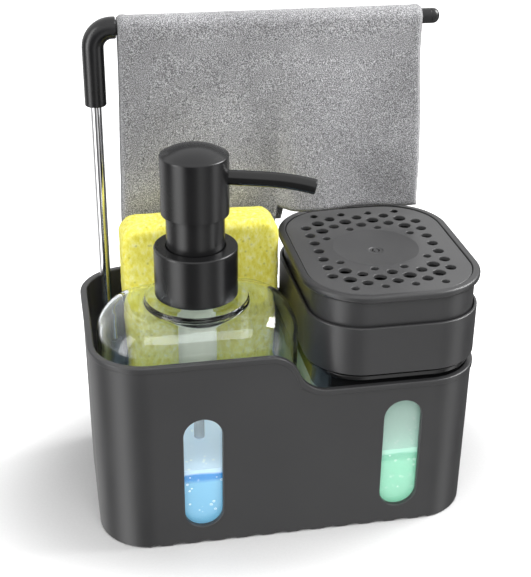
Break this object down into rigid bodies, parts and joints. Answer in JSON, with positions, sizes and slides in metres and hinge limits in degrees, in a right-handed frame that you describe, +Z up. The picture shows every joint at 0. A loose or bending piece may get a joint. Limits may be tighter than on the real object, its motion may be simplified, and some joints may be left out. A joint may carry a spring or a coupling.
{
  "type": "soap pump caddy",
  "caption": "Tub with a swooping rim that holds a clear pump bottle, a press-plate soap dispenser and a sponge, with a towel bar on a rod.",
  "frame": {"origin": "middle of the tub's flat underside", "axes": "+X to the press dispenser, +Y to the towel rack at the back, +Z up"},
  "size_m": [0.1641, 0.0954, 0.205],
  "materials": {
    "charcoal": "satin moulded plastic",
    "pump_black": "satin black plastic",
    "spout_black": "gloss black plastic",
    "clear_plastic": "clear plastic",
    "tube_plastic": "milky plastic",
    "inner_plastic": "white plastic",
    "hand_soap": "blue liquid soap",
    "dish_soap": "green liquid soap",
    "seal_rubber": "soft seal",
    "spring_steel": "drawn steel",
    "chrome": "polished chrome",
    "rack_black": "satin black",
    "microfibre": "speckled grey microfibre",
    "cellulose": "yellow cellulose sponge"
  },
  "bodies": {
    "caddy": {"caddy_body": "charcoal", "socket_bush": "rack_black"},
    "bottle": {"hand_bottle": "clear_plastic", "hand_soap": "hand_soap", "screw_collar": "pump_black", "neck_sleeve": "pump_black", "neck_gasket": "seal_rubber", "pump_cylinder": "tube_plastic", "stem_guide": "inner_plastic", "inlet_ball": "spring_steel", "dip_tube": "tube_plastic", "pump_spring": "spring_steel"},
    "plunger": {"pump_stem": "inner_plastic", "pump_piston": "inner_plastic"},
    "head": {"pump_head": "pump_black", "spout": "spout_black"},
    "dispenser": {"soap_container": "clear_plastic", "dish_soap": "dish_soap", "dispenser_lid": "charcoal", "lid_gasket": "seal_rubber", "press_cylinder": "tube_plastic", "press_guide": "inner_plastic", "press_ball": "spring_steel", "pickup_tube": "tube_plastic", "press_spring": "spring_steel"},
    "plate": {"press_frame": "charcoal", "drain_plate": "charcoal", "outlet_nozzle": "seal_rubber", "press_stem": "inner_plastic", "press_piston": "inner_plastic"},
    "sponge": {"sponge": "cellulose"},
    "rack": {"rack_rod": "chrome", "rack_elbow": "rack_black", "towel_bar": "rack_black", "bar_cap": "rack_black", "towel": "microfibre"}
  },
  "joints": [
    {"name": "bottle_lift", "type": "slide", "parent": "caddy", "child": "bottle", "axis": [0, 0, 1], "range_m": [0, 0.04]},
    {"name": "pump_press", "type": "slide", "parent": "bottle", "child": "plunger", "axis": [0, 0, -1], "range_m": [0, 0.011], "stiffness_N_per_m": 900, "springref_m": -0.006, "deforming": ["pump_spring"]},
    {"name": "pump_swivel", "type": "hinge", "parent": "plunger", "child": "head", "pos_m": [-0.0356, -0.01615, 0.139], "axis": [0, 0, 1], "range_deg": [-160, 35]},
    {"name": "dispenser_lift", "type": "slide", "parent": "caddy", "child": "dispenser", "axis": [0, 0, 1], "range_m": [0, 0.005]},
    {"name": "plate_press", "type": "slide", "parent": "dispenser", "child": "plate", "axis": [0, 0, -1], "range_m": [0, 0.0095], "stiffness_N_per_m": 900, "springref_m": -0.006, "deforming": ["press_spring"]},
    {"name": "sponge_lift", "type": "slide", "parent": "caddy", "child": "sponge", "axis": [0, 0, 1], "range_m": [0, 0.05]},
    {"name": "rack_swing", "type": "hinge", "parent": "caddy", "child": "rack", "pos_m": [-0.06954, 0.0378, 0.06], "axis": [0, 0, 1], "range_deg": [0, 110]}
  ]
}
